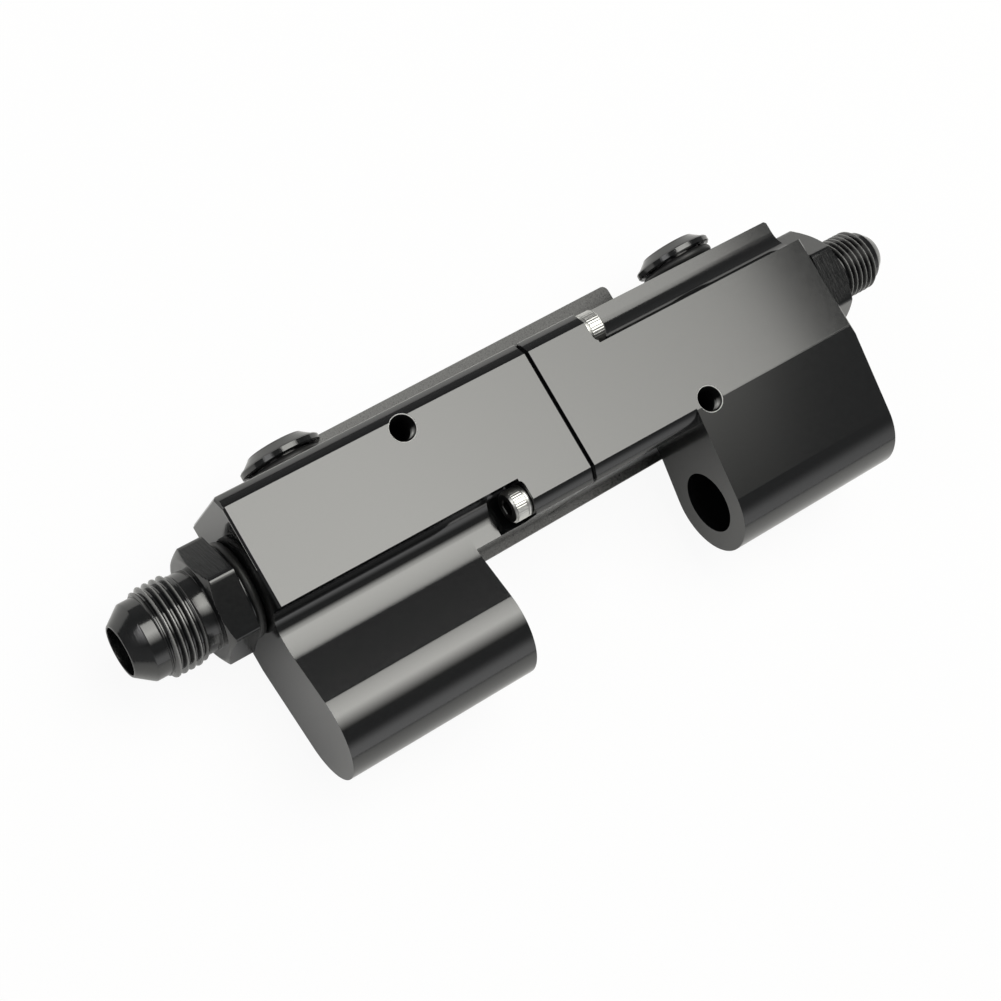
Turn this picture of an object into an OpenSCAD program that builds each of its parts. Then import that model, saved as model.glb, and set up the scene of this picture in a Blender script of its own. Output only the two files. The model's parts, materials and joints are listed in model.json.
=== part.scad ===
// Two-piece bypass adapter that holds a fuel composition sensor in a fuel line.
// Two like blocks, one turned half a turn about Y, are clamped end to end by four screws.
// X runs along the flow, from the large fitting (-X) to the small one (+X), and the seam is at X = 0.
// The lobes that take the sensor's tubes point to -Y, the port plugs to +Y, and the bracket lies at -Z.
// The origin is on the back of the bracket, straight below the flow axis. Sizes are in millimetres.

/* [Blocks] */
// Length of one block, from the seam to its outer end
block_l = 72; // [68:0.5:85]
// Width of the bar, from the lobe side to the plug side
block_w = 32.6; // [31:0.2:38]
// Thickness of the bar, from the front face to the bracket
block_t = 32; // [31:0.5:38]
// Width that the long edge bevels take off a front or back face
bevel_w = 2.9; // [1:0.1:3.5]
// Depth that the long edge bevels take off a side face
bevel_d = 2.3; // [1:0.1:3]
// Small chamfer round the ends of each block
seam_chamfer = 0.5; // [0.2:0.1:1]

/* [Lobes] */
// Gap between the two lobes, where the sensor sits
bay_l = 55.5; // [50:0.5:62]
// Distance from the flow axis to the sensor tube axis
lobe_drop = 31.5; // [30:0.5:40]
// Radius of the lobe's round end
lobe_r = 11.65; // [10.5:0.05:13]
// Diameter of the socket in the lobe's inner face
socket_d = 14; // [12.5:0.1:16]
// Depth of that socket
socket_l = 12; // [8:0.5:16]
// Diameter of the bore behind the socket, a sliding fit on the sensor tube
tube_d = 9.7; // [9:0.1:10.5]
// Depth of the tube bore, counted from the bottom of the socket
tube_l = 17; // [14:0.5:20]

/* [Pockets] */
// Distance from the seam to the end wall of both screw pockets
pocket_x = 15.9; // [15.5:0.1:19]
// Distance from the flow axis to the wall of both screw pockets
pocket_edge = 8.3; // [7.9:0.1:9]
// Height of the floor of the lobe side pocket above the flow axis
lobe_floor = 7.35; // [6.9:0.05:8.5]
// Radius of the inner corner of the lobe side pocket
lobe_fillet = 4.7; // [3:0.1:5]
// Slope of the rise from that floor to the lobe's round end, in degrees
rise_angle = 17.5; // [14:0.5:20]
// Radius of the hollow between the floor and the rise
rise_blend = 13.4; // [8:0.1:16]
// Height of the floor of the plug side pocket above the flow axis
plug_floor = 7.9; // [7.7:0.1:9.5]
// Radius of the inner corner of the plug side pocket
plug_fillet = 5.3; // [3:0.1:6]

/* [Clamp screws] */
// Distance of a clamp screw from the flow axis, along Y
screw_y = 12.3; // [12:0.1:13]
// Distance of a clamp screw from the flow axis, along Z
screw_z = 11.4; // [11:0.1:12]
// Thread diameter of a clamp screw
screw_d = 4; // [3:0.5:5]
// Head diameter of a clamp screw
head_d = 7; // [6:0.1:8.5]
// Head height of a clamp screw
head_h = 4; // [3:0.1:5]
// Length of a clamp screw under its head
screw_l = 30; // [24:1:34]
// Distance from the seam to the face that a screw head bears on
seat_x = 15.1; // [14:0.1:15.4]
// Diameter of the counterbore round a screw head
counterbore_d = 11.4; // [10.8:0.1:11.8]
// Length of that counterbore
counterbore_l = 6.4; // [5.6:0.1:9]

/* [Flow ports] */
// Diameter of the bypass bore along the blocks
flow_d = 10; // [6:0.5:12]
// Diameter of the drilling from a plug port to the sensor bore
cross_d = 7; // [5:0.5:8]
// Distance from the block's outer end to the middle of a plug port
plug_inset = 20.6; // [20.4:0.1:24]
// Straight thread diameter of an end port, three quarters of an inch
end_thread_d = 19.05; // [18:0.05:19.5]
// Depth of an end port
end_port_l = 13; // [12:0.1:13.2]
// Straight thread diameter of a plug port, nine sixteenths of an inch
plug_thread_d = 14.29; // [13.5:0.01:14.6]
// Depth of a plug port
plug_port_l = 8; // [7.5:0.1:9]

/* [Fittings] */
// Width across the flats of both hexagons
hex_af = 22.2; // [21.5:0.1:25]
// Length of a hexagon
hex_l = 6.4; // [5:0.1:9]
// Gap between a hexagon and its block, where the seal shows
hex_gap = 2.8; // [2.5:0.1:3.5]
// Turn of the inlet hexagon about the flow axis
inlet_hex_turn = 17.9; // [0:0.1:59]
// Turn of the outlet hexagon about the flow axis
outlet_hex_turn = 10.9; // [0:0.1:59]
// Thread diameter of the inlet fitting
inlet_thread_d = 19.05; // [17:0.05:20]
// Length of the inlet fitting outside its hexagon
inlet_nose_l = 17.5; // [15:0.1:22]
// Bore of the inlet fitting
inlet_bore_d = 10.2; // [8:0.1:10.6]
// Thread diameter of the outlet fitting
outlet_thread_d = 14.29; // [13:0.01:15]
// Length of the outlet fitting outside its hexagon
outlet_nose_l = 16.2; // [14:0.1:20]
// Bore of the outlet fitting
outlet_bore_d = 7.4; // [6:0.1:7.6]

/* [Port plugs] */
// Flange diameter of a port plug
plug_flange_d = 17.7; // [16.5:0.1:19]
// Thickness of that flange
plug_flange_h = 1.6; // [1:0.1:2.5]
// Gap under the flange, where the seal shows
plug_gap = 2.3; // [2.1:0.1:3]
// Height of the cone above the flange
plug_crown_h = 1.8; // [1:0.1:3]
// Diameter of the flat top of that cone
plug_crown_d = 12.6; // [10:0.1:14]
// Width across the flats of the plug's socket
plug_socket_af = 6.35; // [5:0.05:8]

/* [Bracket] */
// Length of the bracket plate
bracket_l = 85; // [80:1:100]
// Width of the bracket plate
bracket_w = 40.8; // [38:0.2:50]
// Thickness of the bracket plate
bracket_t = 3.5; // [3.3:0.1:5]
// How far the plate's middle lies to the plug side of the flow axis
bracket_shift = 2.4; // [1:0.1:4]
// Turn of the plate on its screws, in degrees
bracket_skew = 0.7; // [-1:0.1:1]
// Distance from the seam to a tapped mounting hole
mount_x = 31.8; // [31:0.1:33]
// Distance from the flow axis to a mounting hole on the plug side
mount_plug_y = 11.3; // [11:0.1:12]
// Distance from the flow axis to a mounting hole on the lobe side
mount_lobe_y = 12.9; // [12:0.1:13.5]
// Thread diameter of the mounting holes
mount_d = 6; // [5:0.5:6.5]
// Depth of the mounting holes
mount_l = 11; // [9:0.5:12]
// Diameter of the plain holes that take the carrier's bolts
carrier_hole_d = 6.6; // [5.5:0.1:7]

/* [Fits] */
// Radial clearance of a threaded or plain shank in its hole
shank_gap = 0.08; // [0.05:0.01:0.15]
// Radial clearance of the bracket's screws in its holes
plate_gap = 0.35; // [0.2:0.05:0.5]
// Clearance between a seal and the faces beside it
seal_gap = 0.05; // [0.02:0.01:0.1]

/* [Hidden] */
$fn = 96;

black = [0.07, 0.075, 0.08];
rubber = [0.03, 0.03, 0.03];
bright = [0.78, 0.78, 0.76];
coated = [0.2, 0.2, 0.21];

// Length that a cut runs past the solid it goes through
over = 1;
flow_z = block_t / 2 + bracket_t;
side_y = block_w / 2;
face_z = block_t / 2;
face_y = side_y - bevel_w;
shoulder_z = face_z - bevel_d;
lobe_x = bay_l / 2;
plug_x = block_l - plug_inset;
// Width of the open side of a pocket, beyond anything that it cuts
reach = block_w + lobe_drop + lobe_r;

end_seal_r = 1.1;
end_neck_r = end_thread_d / 2 - 1.3;
end_neck_l = 2.5;
end_shank_l = end_port_l - 0.5;
washer_l = hex_gap - 2 * end_seal_r - 2 * seal_gap;
washer_r = hex_af / 2 - 0.4;
hex_r = hex_af / 2 / cos(30);
hex_chamfer_r = hex_af / 2 - 0.1;
hex_chamfer_l = (hex_r + over - hex_chamfer_r) * tan(30);
thread_chamfer = 0.7;
relief_l = 2.8;
relief_step = 0.9;
flare_step = 1.2;
flare_angle = 37;
mouth_wall = 0.45;
inlet_collar_l = 2.8;
outlet_collar_l = 1.3;

plug_seal_r = 1;
plug_neck_r = plug_thread_d / 2 - 0.8;
plug_neck_l = 2;
plug_shank_l = plug_port_l - 1;
plug_socket_l = 3.6;
plug_edge = 0.3;
flange_y = side_y + plug_gap;
crown_y = flange_y + plug_flange_h;

tap_spare = 2;
tap_l = screw_l - seat_x + tap_spare;
head_edge = 0.4;
head_socket_af = 3;
head_socket_l = 2.2;
counterbore_edge = 0.9;

seam_groove_wall = 2.6;
seam_groove_r = flow_d / 2 + seam_groove_wall;
seam_groove_w = 2.3;
seam_groove_l = 1.4;
tube_groove_inset = 3.2;
tube_groove_x = lobe_x + socket_l + tube_groove_inset;
tube_groove_w = 2.4;
tube_seal_r = 1;
tube_seal_major = tube_d / 2 + seal_gap + tube_seal_r;
tube_groove_r = tube_seal_major + tube_seal_r + seal_gap;

bracket_corner_r = 1.5;
countersink_r = mount_d;
bracket_screw_grip = 8;
bracket_screw_l = bracket_t + bracket_screw_grip;
bracket_screw_gap = 0.08;
bracket_socket_af = 4;
bracket_socket_l = 2.2;

// Point where the line from p touches the circle of radius r round c, on the side of p's sign.
function touch(p, c, r) = let (
        d = p - c,
        a = atan2(abs(d[1]), d[0]) + acos(r / norm(d))
    ) c + r * [cos(a), sign(d[1]) * sin(a)];

// Puts a piece that is drawn round the flow axis at its height over the bracket's back.
module at_flow() {
    translate([0, 0, flow_z]) children();
}

// Turns what is drawn for the inlet block into the outlet block's.
module outlet_side() {
    rotate([0, 180, 0]) children();
}

// Extrudes a (Y, Z) outline along X, from x0 to x1.
module along_x(x0, x1) {
    translate([x0, 0, 0]) rotate([90, 0, 90]) linear_extrude(x1 - x0) children();
}

// Solid or hole round an axis parallel to X, from x0 to x1.
module rod_x(x0, x1, r, y = 0, z = 0) {
    translate([x0, y, z]) rotate([0, 90, 0]) cylinder(h = x1 - x0, r = r);
}

// Turns a (radius, length) outline about X, with its length to +X.
module turned_x() {
    rotate([0, 90, 0]) rotate_extrude() children();
}

// Turns a (radius, length) outline about Y, with its length to +Y.
module turned_y() {
    rotate([-90, 0, 0]) rotate_extrude() children();
}

// Seal ring in the XY plane: mean radius major, section radius minor.
module ring(major, minor) {
    rotate_extrude() translate([major, 0]) circle(r = minor, $fn = 32);
}

// Hexagonal prism along +Z, af across its flats, with a corner on +Y.
module hexagon(af, h) {
    rotate([0, 0, 90]) cylinder(h = h, r = af / 2 / cos(30), $fn = 6);
}

// Section of the bar: a rectangle with four bevelled corners.
module bar_outline() {
    polygon([
        [-face_y, face_z], [face_y, face_z], [side_y, shoulder_z], [side_y, -shoulder_z],
        [face_y, -face_z], [-face_y, -face_z], [-side_y, -shoulder_z], [-side_y, shoulder_z]
    ]);
}

// Section of the lobe: in front a floor with a hollow rise to the round end, behind a plane that meets it.
module lobe_outline() {
    centre = [-lobe_drop, 0];
    back = [-face_y, -face_z];
    top = centre + lobe_r * [sin(rise_angle), cos(rise_angle)];
    blend_z = lobe_floor + rise_blend * (1 - cos(rise_angle));
    foot_y = top[0] + (top[1] - blend_z) / tan(rise_angle);
    blend_y = foot_y + rise_blend * sin(rise_angle);
    difference() {
        polygon([
            [0, lobe_floor], [blend_y, lobe_floor], [foot_y, blend_z], top, centre,
            touch(back, centre, lobe_r), back, [0, -face_z]
        ]);
        translate([blend_y, lobe_floor + rise_blend]) circle(r = rise_blend);
    }
    translate(centre) circle(r = lobe_r);
}

// Section of a screw pocket: open outside its wall and above its floor, with a round inner corner.
module pocket_outline(floor_z, fillet) {
    centre = [-pocket_edge - fillet, floor_z + fillet];
    translate([-reach, floor_z]) square([reach + centre[0], reach]);
    translate([-reach, centre[1]]) square([reach - pocket_edge, reach]);
    translate(centre) circle(r = fillet);
}

// Chamfer cut across an end, along the outline's edge at (y, z); the turn is that of the edge.
module edge_cut(y, z, turn, l) {
    cut = seam_chamfer * sqrt(2);
    translate([0, y, z]) rotate([turn, 0, 0]) rotate([0, 45, 0]) cube([cut, l, cut], center = true);
}

// Chamfers round an end of the bar; the lobe's side has them only at the seam.
module end_chamfers(lobe_side) {
    bevel_y = (face_y + side_y) / 2;
    bevel_z = (face_z + shoulder_z) / 2;
    bevel_turn = atan2(bevel_d, bevel_w);
    bevel_l = 2 * norm([bevel_d, bevel_w]);
    edge_cut(side_y, 0, 90, block_t);
    for (side = [1, -1]) {
        edge_cut(0, side * face_z, 0, block_w);
        edge_cut(bevel_y, side * bevel_z, -side * bevel_turn, bevel_l);
        if (lobe_side) edge_cut(-bevel_y, side * bevel_z, side * bevel_turn, bevel_l);
    }
    if (lobe_side) edge_cut(-side_y, 0, 90, block_t);
}

// Counterbore along X with a round inner edge; its flat bottom is at x = 0.
module counterbore() {
    r = counterbore_d / 2;
    turned_x() {
        translate([0, -counterbore_l]) square([r, counterbore_l - counterbore_edge]);
        translate([0, -counterbore_l]) square([r - counterbore_edge, counterbore_l]);
        translate([r - counterbore_edge, -counterbore_edge]) circle(r = counterbore_edge);
    }
}

// Both blocks' own shape, drawn as the inlet block: bar, two screw pockets and lobe, and all drillings.
module block() {
    shank_r = screw_d / 2 + shank_gap;
    bore_end = -lobe_x - socket_l;
    difference() {
        union() {
            difference() {
                along_x(-block_l, 0) bar_outline();
                along_x(-block_l - over, -pocket_x) pocket_outline(lobe_floor, lobe_fillet);
                along_x(-block_l - over, -pocket_x) rotate(180) pocket_outline(plug_floor, plug_fillet);
            }
            along_x(-block_l, -lobe_x) lobe_outline();
        }
        end_chamfers(true);
        translate([-block_l, 0, 0]) end_chamfers(false);
        // Screws: a counterbore and a plain hole in each pocket, a tapped hole on the other diagonal.
        for (side = [1, -1]) {
            translate([-seat_x, -side * screw_y, side * screw_z]) counterbore();
            rod_x(-seat_x - over, over, shank_r, -side * screw_y, side * screw_z);
            rod_x(-tap_l, over, shank_r, side * screw_y, side * screw_z);
        }
        // Fuel way: end port, bypass bore, plug port and the drilling down to the sensor bore.
        rod_x(-block_l - over, -block_l + end_port_l, end_thread_d / 2 + shank_gap);
        rod_x(-block_l, over, flow_d / 2);
        translate([-plug_x, side_y - plug_port_l, 0]) rotate([-90, 0, 0])
            cylinder(h = plug_port_l + over, r = plug_thread_d / 2 + shank_gap);
        translate([-plug_x, -lobe_drop, 0]) rotate([-90, 0, 0])
            cylinder(h = lobe_drop + side_y - plug_port_l + over, r = cross_d / 2);
        // Sensor bore: socket, tube bore and the groove of its seal.
        rod_x(bore_end, -lobe_x + over, socket_d / 2, -lobe_drop);
        rod_x(bore_end - tube_l, bore_end + over, tube_d / 2, -lobe_drop);
        rod_x(-tube_groove_x - tube_groove_w, -tube_groove_x, tube_groove_r, -lobe_drop);
        // Mounting holes: one in each main face.
        translate([-mount_x, mount_plug_y, face_z - mount_l]) cylinder(h = mount_l + over, r = mount_d / 2);
        translate([-mount_x, -mount_lobe_y, -face_z - over]) cylinder(h = mount_l + over, r = mount_d / 2);
    }
}

// Outline of a fitting that is turned about the flow axis; length 0 is the block's end face.
function fitting_outline(thread_d, nose_l, collar_l, bore_d) = let (
        r = thread_d / 2,
        nose_r = r - flare_step,
        mouth_r = bore_d / 2 + mouth_wall,
        hex_end = hex_gap + hex_l,
        tip = hex_end + nose_l,
        cone = tip - (nose_r - mouth_r) / tan(flare_angle),
        thread_end = cone - collar_l,
        port_r = end_thread_d / 2
    ) [
        [bore_d / 2, -end_shank_l],
        [port_r - thread_chamfer, -end_shank_l], [port_r, thread_chamfer - end_shank_l],
        [port_r, -end_neck_l], [end_neck_r, -end_neck_l],
        [end_neck_r, hex_gap - washer_l], [washer_r, hex_gap - washer_l], [washer_r, hex_gap],
        [washer_r, hex_gap + over], [r - relief_step, hex_gap + over],
        [r - relief_step, hex_end + relief_l], [r - thread_chamfer, hex_end + relief_l],
        [r, hex_end + relief_l + thread_chamfer], [r, thread_end - thread_chamfer],
        [r - thread_chamfer, thread_end], [nose_r, thread_end], [nose_r, cone],
        [mouth_r, tip], [bore_d / 2, tip]
    ];

// Fitting on the outlet end: port thread, hexagon, and a threaded nose with a flare cone.
module fitting(thread_d, nose_l, collar_l, bore_d, turn) {
    translate([block_l, 0, 0]) {
        turned_x() polygon(fitting_outline(thread_d, nose_l, collar_l, bore_d));
        translate([hex_gap, 0, 0]) rotate([turn, 0, 0]) difference() {
            intersection() {
                rotate([0, 90, 0]) hexagon(hex_af, hex_l);
                turned_x() polygon([
                    [0, -over], [hex_r + over, -over], [hex_r + over, hex_l - hex_chamfer_l],
                    [hex_chamfer_r, hex_l], [0, hex_l]
                ]);
            }
            rod_x(-over, hex_l + over, bore_d / 2 + over);
        }
    }
}

// Seal between a hexagon and the end of the outlet block.
module fitting_seal() {
    translate([block_l + seal_gap + end_seal_r, 0, 0]) rotate([0, 90, 0])
        ring(end_neck_r + seal_gap + end_seal_r, end_seal_r);
}

// Port plug on the inlet side: shank, seal neck, flange and a cone with a hexagon socket.
module plug() {
    r = plug_thread_d / 2;
    flange_r = plug_flange_d / 2;
    foot_r = flange_r - 2 * plug_edge;
    top_r = plug_crown_d / 2;
    top_y = crown_y + plug_crown_h;
    translate([-plug_x, 0, 0]) difference() {
        turned_y() polygon([
            [0, side_y - plug_shank_l], [r - thread_chamfer, side_y - plug_shank_l],
            [r, side_y - plug_shank_l + thread_chamfer], [r, side_y - plug_neck_l],
            [plug_neck_r, side_y - plug_neck_l], [plug_neck_r, flange_y],
            [flange_r - plug_edge, flange_y], [flange_r, flange_y + plug_edge],
            [flange_r, crown_y - plug_edge], [flange_r - plug_edge, crown_y], [foot_r, crown_y],
            [top_r, top_y - plug_edge], [top_r - plug_edge, top_y], [0, top_y]
        ]);
        translate([0, top_y - plug_socket_l, 0]) rotate([-90, 0, 0])
            hexagon(plug_socket_af, plug_socket_l + over);
    }
}

// Seal under the flange of the inlet side's plug.
module plug_seal() {
    translate([-plug_x, side_y + seal_gap + plug_seal_r, 0]) rotate([-90, 0, 0])
        ring(plug_neck_r + seal_gap + plug_seal_r, plug_seal_r);
}

// Socket head screw in a pocket of the inlet block, with its shank to +X.
module clamp_screw(y, z) {
    r = head_d / 2;
    shank_r = screw_d / 2;
    translate([-seat_x, y, z]) difference() {
        turned_x() polygon([
            [0, -head_h], [r - head_edge, -head_h], [r, head_edge - head_h], [r, 0],
            [shank_r, 0], [shank_r, screw_l - thread_chamfer], [shank_r - thread_chamfer, screw_l], [0, screw_l]
        ]);
        translate([-head_h - over, 0, 0]) rotate([0, 90, 0]) hexagon(head_socket_af, head_socket_l + over);
    }
}

// Plate outline with four round corners.
module plate_outline(l, w, r) {
    square([l - 2 * r, w], center = true);
    square([l, w - 2 * r], center = true);
    for (x = [1, -1], y = [1, -1]) translate([x * (l / 2 - r), y * (w / 2 - r)]) circle(r = r);
}

// Places of the two screws that hold the bracket.
lower_screw = [-mount_x, -mount_lobe_y];
upper_screw = [mount_x, mount_plug_y];

// Countersunk screw with its head flush with the back of the bracket.
module bracket_screw(place) {
    shank_r = mount_d / 2 - bracket_screw_gap;
    head_r = countersink_r - bracket_screw_gap;
    translate([place[0], place[1], 0]) difference() {
        rotate_extrude() polygon([
            [0, 0], [head_r, 0], [shank_r, head_r - shank_r], [shank_r, bracket_screw_l - thread_chamfer],
            [shank_r - thread_chamfer, bracket_screw_l], [0, bracket_screw_l]
        ]);
        translate([0, 0, -over]) hexagon(bracket_socket_af, bracket_socket_l + over);
    }
}

module inlet_block() {
    color(black) at_flow() difference() {
        block();
        translate([-seam_groove_l, 0, 0]) turned_x() translate([seam_groove_r - seam_groove_w / 2, 0])
            square([seam_groove_w, seam_groove_l + over]);
    }
}

module outlet_block() {
    color(black) at_flow() outlet_side() block();
}

module inlet_fitting() {
    color(black) at_flow() mirror([1, 0, 0])
        fitting(inlet_thread_d, inlet_nose_l, inlet_collar_l, inlet_bore_d, inlet_hex_turn);
}

module outlet_fitting() {
    color(black) at_flow()
        fitting(outlet_thread_d, outlet_nose_l, outlet_collar_l, outlet_bore_d, outlet_hex_turn);
}

module inlet_fitting_seal() {
    color(rubber) at_flow() mirror([1, 0, 0]) fitting_seal();
}

module outlet_fitting_seal() {
    color(rubber) at_flow() fitting_seal();
}

module inlet_plug() {
    color(black) at_flow() plug();
}

module outlet_plug() {
    color(black) at_flow() outlet_side() plug();
}

module inlet_plug_seal() {
    color(rubber) at_flow() plug_seal();
}

module outlet_plug_seal() {
    color(rubber) at_flow() outlet_side() plug_seal();
}

module front_lower_screw() {
    color(bright) at_flow() clamp_screw(-screw_y, screw_z);
}

module rear_upper_screw() {
    color(bright) at_flow() clamp_screw(screw_y, -screw_z);
}

module front_upper_screw() {
    color(bright) at_flow() outlet_side() clamp_screw(screw_y, -screw_z);
}

module rear_lower_screw() {
    color(bright) at_flow() outlet_side() clamp_screw(-screw_y, screw_z);
}

// The seam seal is squeezed flat between the blocks.
module seam_seal() {
    thick = seam_groove_l - 2 * seal_gap;
    flat = seam_groove_w - 2 * seal_gap - thick;
    color(rubber) at_flow() translate([-seam_groove_l / 2, 0, 0]) turned_x() translate([seam_groove_r, 0]) {
        square([flat, thick], center = true);
        for (side = [1, -1]) translate([side * flat / 2, 0]) circle(r = thick / 2);
    }
}

// Seal of the sensor tube in the inlet lobe.
module sensor_seal() {
    translate([-tube_groove_x - tube_groove_w / 2, -lobe_drop, 0]) rotate([0, 90, 0])
        ring(tube_seal_major, tube_seal_r);
}

module inlet_sensor_seal() {
    color(rubber) at_flow() sensor_seal();
}

module outlet_sensor_seal() {
    color(rubber) at_flow() outlet_side() sensor_seal();
}

module bracket() {
    hole_r = mount_d / 2 + plate_gap;
    color(coated) difference() {
        linear_extrude(bracket_t) translate([0, bracket_shift]) rotate(bracket_skew)
            plate_outline(bracket_l, bracket_w, bracket_corner_r);
        for (place = [lower_screw, upper_screw]) translate([place[0], place[1], 0]) {
            translate([0, 0, -over]) cylinder(h = bracket_t + 2 * over, r = hole_r);
            translate([0, 0, -over]) cylinder(h = countersink_r - hole_r + over, r1 = countersink_r + over, r2 = hole_r);
        }
        // The carrier's bolt heads sit in the open ends of the rear pockets.
        for (side = [1, -1]) translate([-side * mount_x, side * screw_y, -over])
            cylinder(h = bracket_t + 2 * over, r = carrier_hole_d / 2);
    }
}

module lower_bracket_screw() {
    color(bright) bracket_screw(lower_screw);
}

module upper_bracket_screw() {
    color(bright) bracket_screw(upper_screw);
}

inlet_block();
outlet_block();
inlet_fitting();
outlet_fitting();
inlet_fitting_seal();
outlet_fitting_seal();
inlet_plug();
outlet_plug();
inlet_plug_seal();
outlet_plug_seal();
front_lower_screw();
front_upper_screw();
rear_upper_screw();
rear_lower_screw();
seam_seal();
inlet_sensor_seal();
outlet_sensor_seal();
bracket();
lower_bracket_screw();
upper_bracket_screw();
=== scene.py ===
"""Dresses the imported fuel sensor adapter: finishes, threads, knurled screws, soft studio light and camera.

The CAD model is the fixed frame. Its blocks, plugs, seals and bracket stay and take a finish each. The end
fittings and the clamp screws are replaced by meshes with real threads and knurls, and the two tapped holes
in the front face get a lining. Sizes are in millimetres unless they say metres.
"""

from __future__ import annotations

import json
import logging
import math
from collections.abc import Sequence
from dataclasses import dataclass
from enum import Enum

import bmesh
import bpy
import numpy as np
from mathutils import Matrix, Vector

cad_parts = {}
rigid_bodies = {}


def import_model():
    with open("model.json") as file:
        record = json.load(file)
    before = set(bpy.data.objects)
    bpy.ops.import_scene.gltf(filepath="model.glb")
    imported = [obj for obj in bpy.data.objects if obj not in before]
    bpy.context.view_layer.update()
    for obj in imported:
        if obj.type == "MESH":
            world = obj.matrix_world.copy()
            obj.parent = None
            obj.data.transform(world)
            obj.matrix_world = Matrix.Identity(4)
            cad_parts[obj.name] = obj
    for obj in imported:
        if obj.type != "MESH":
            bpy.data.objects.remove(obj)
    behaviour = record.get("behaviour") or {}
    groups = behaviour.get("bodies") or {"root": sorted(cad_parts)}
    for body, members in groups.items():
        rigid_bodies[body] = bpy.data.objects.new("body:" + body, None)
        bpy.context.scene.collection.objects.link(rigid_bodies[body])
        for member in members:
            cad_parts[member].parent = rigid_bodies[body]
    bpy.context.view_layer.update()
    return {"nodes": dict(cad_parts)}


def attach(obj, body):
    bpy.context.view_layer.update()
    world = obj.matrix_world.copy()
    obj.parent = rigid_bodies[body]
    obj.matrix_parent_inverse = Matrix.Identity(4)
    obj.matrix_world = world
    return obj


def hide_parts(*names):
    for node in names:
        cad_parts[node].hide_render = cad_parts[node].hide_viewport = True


LOG = logging.getLogger("adapter")

MM = 0.001
TURN = 2 * math.pi
WELD = 0.000002  # metres below which two points are one
BODY = "root"

# The CAD blocks, measured from the flow axis.
FLOW_Z = 19.5  # height of the flow axis over the bracket's back, where Z is 0
BLOCK_L = 72.0  # length of each block
FACE_Z = 16.0  # front face
BEVEL_MID = 14.85  # middle of a long bevel, the same across and up
BEVEL_RUN = (0.7835, 0.6214)  # direction of a bevel, across and down
BEVEL_HALF = 1.85  # half the width of a bevel
BEVEL_ROUND = 5.4  # radius that its shading is rounded to
ON_PLANE = 0.15  # distance at which a point still counts as on a bevel
END_BAND = 0.05  # the same for an end face
PAINTED_HIGHLIGHT_WIDTH = 0.16  # width of the highlight painted along the outer edge of an upper bevel
CHAMFER_WIDTH = 0.5  # width of the chamfers at the seam and the end faces

# A thread's form, in shares of its pitch.
THREAD_STATIONS = (0.0, 0.06, 0.16, 0.28, 0.42, 0.5, 0.58, 0.72, 0.84, 0.94)  # the crest is at 0
THREAD_DEPTH = 0.6
THREAD_CREST = 0.06  # half the flat of the crest
THREAD_FLANK = 0.36
THREAD_FADE = (0.8, 0.5)  # lengths of the run-in and the run-out
THREAD_WEAR = (3, 2)  # the wear is the flank's height times the first number, less the second

# The rounding of a turned outline.
SHORTEST_SIDE = 1e-6  # a shorter side has no rounding
ROUNDED_SHARE = 0.45  # share of a side that one rounding may take

# The edges of the CAD pieces, by the angle between their two faces in degrees.
SQUARE_EDGE = 60  # from here on an edge is broken in full
BLUNT_EDGE = 35  # from here on it is broken a little
BLUNT_SHARE = 0.4  # how much of the full width that is


class Slot(Enum):
    """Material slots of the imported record."""

    BLOCK = "body_black"
    FITTING = "fitting_black"
    SCREW = "screw_steel"
    BRACKET = "bracket_coating"
    SEAL = "seal_rubber"


class Way(Enum):
    """End of the fuel way that a fitting stands on."""

    INLET = -1
    OUTLET = 1


def rounded(
    corners: Sequence[tuple[float, float]], radius: float, steps: int = 3,
) -> list[tuple[float, float]]:
    """Rounds the inner corners of an open (length, radius) outline.

    Args:
        corners: The outline's corners, in millimetres.
        radius: Largest rounding; short sides take less.
        steps: Segments of each rounding.

    Returns:
        The outline with each corner replaced by a short arc.
    """
    points = [np.array(c, float) for c in corners]
    out = [tuple(points[0])]
    for before, corner, after in zip(points, points[1:], points[2:]):
        a, b = before - corner, after - corner
        la, lb = np.linalg.norm(a), np.linalg.norm(b)
        if la < SHORTEST_SIDE or lb < SHORTEST_SIDE:
            continue
        reach = min(radius, ROUNDED_SHARE * la, ROUNDED_SHARE * lb)
        start, end = corner + a / la * reach, corner + b / lb * reach
        for i in range(steps + 1):
            t = i / steps
            out.append(tuple((1 - t) ** 2 * start + 2 * t * (1 - t) * corner + t * t * end))
    out.append(tuple(points[-1]))
    return out


def hexagon_radii(angles: np.ndarray, across_flats: float, corner: float = 0.0) -> np.ndarray:
    """Radius of a hexagon at each angle, with a corner at angle 0.

    Args:
        angles: Angles in radians.
        across_flats: Distance between opposite flats.
        corner: How much the sharp corners are blunted.

    Returns:
        One radius for each angle.
    """
    from_flat = (angles + math.pi / 6) % (math.pi / 3) - math.pi / 6
    from_flat = math.pi / 6 - np.abs(from_flat)
    radii = across_flats / 2 / np.cos(from_flat)
    return np.minimum(radii, across_flats / 2 / math.cos(math.pi / 6) - corner)


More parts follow.
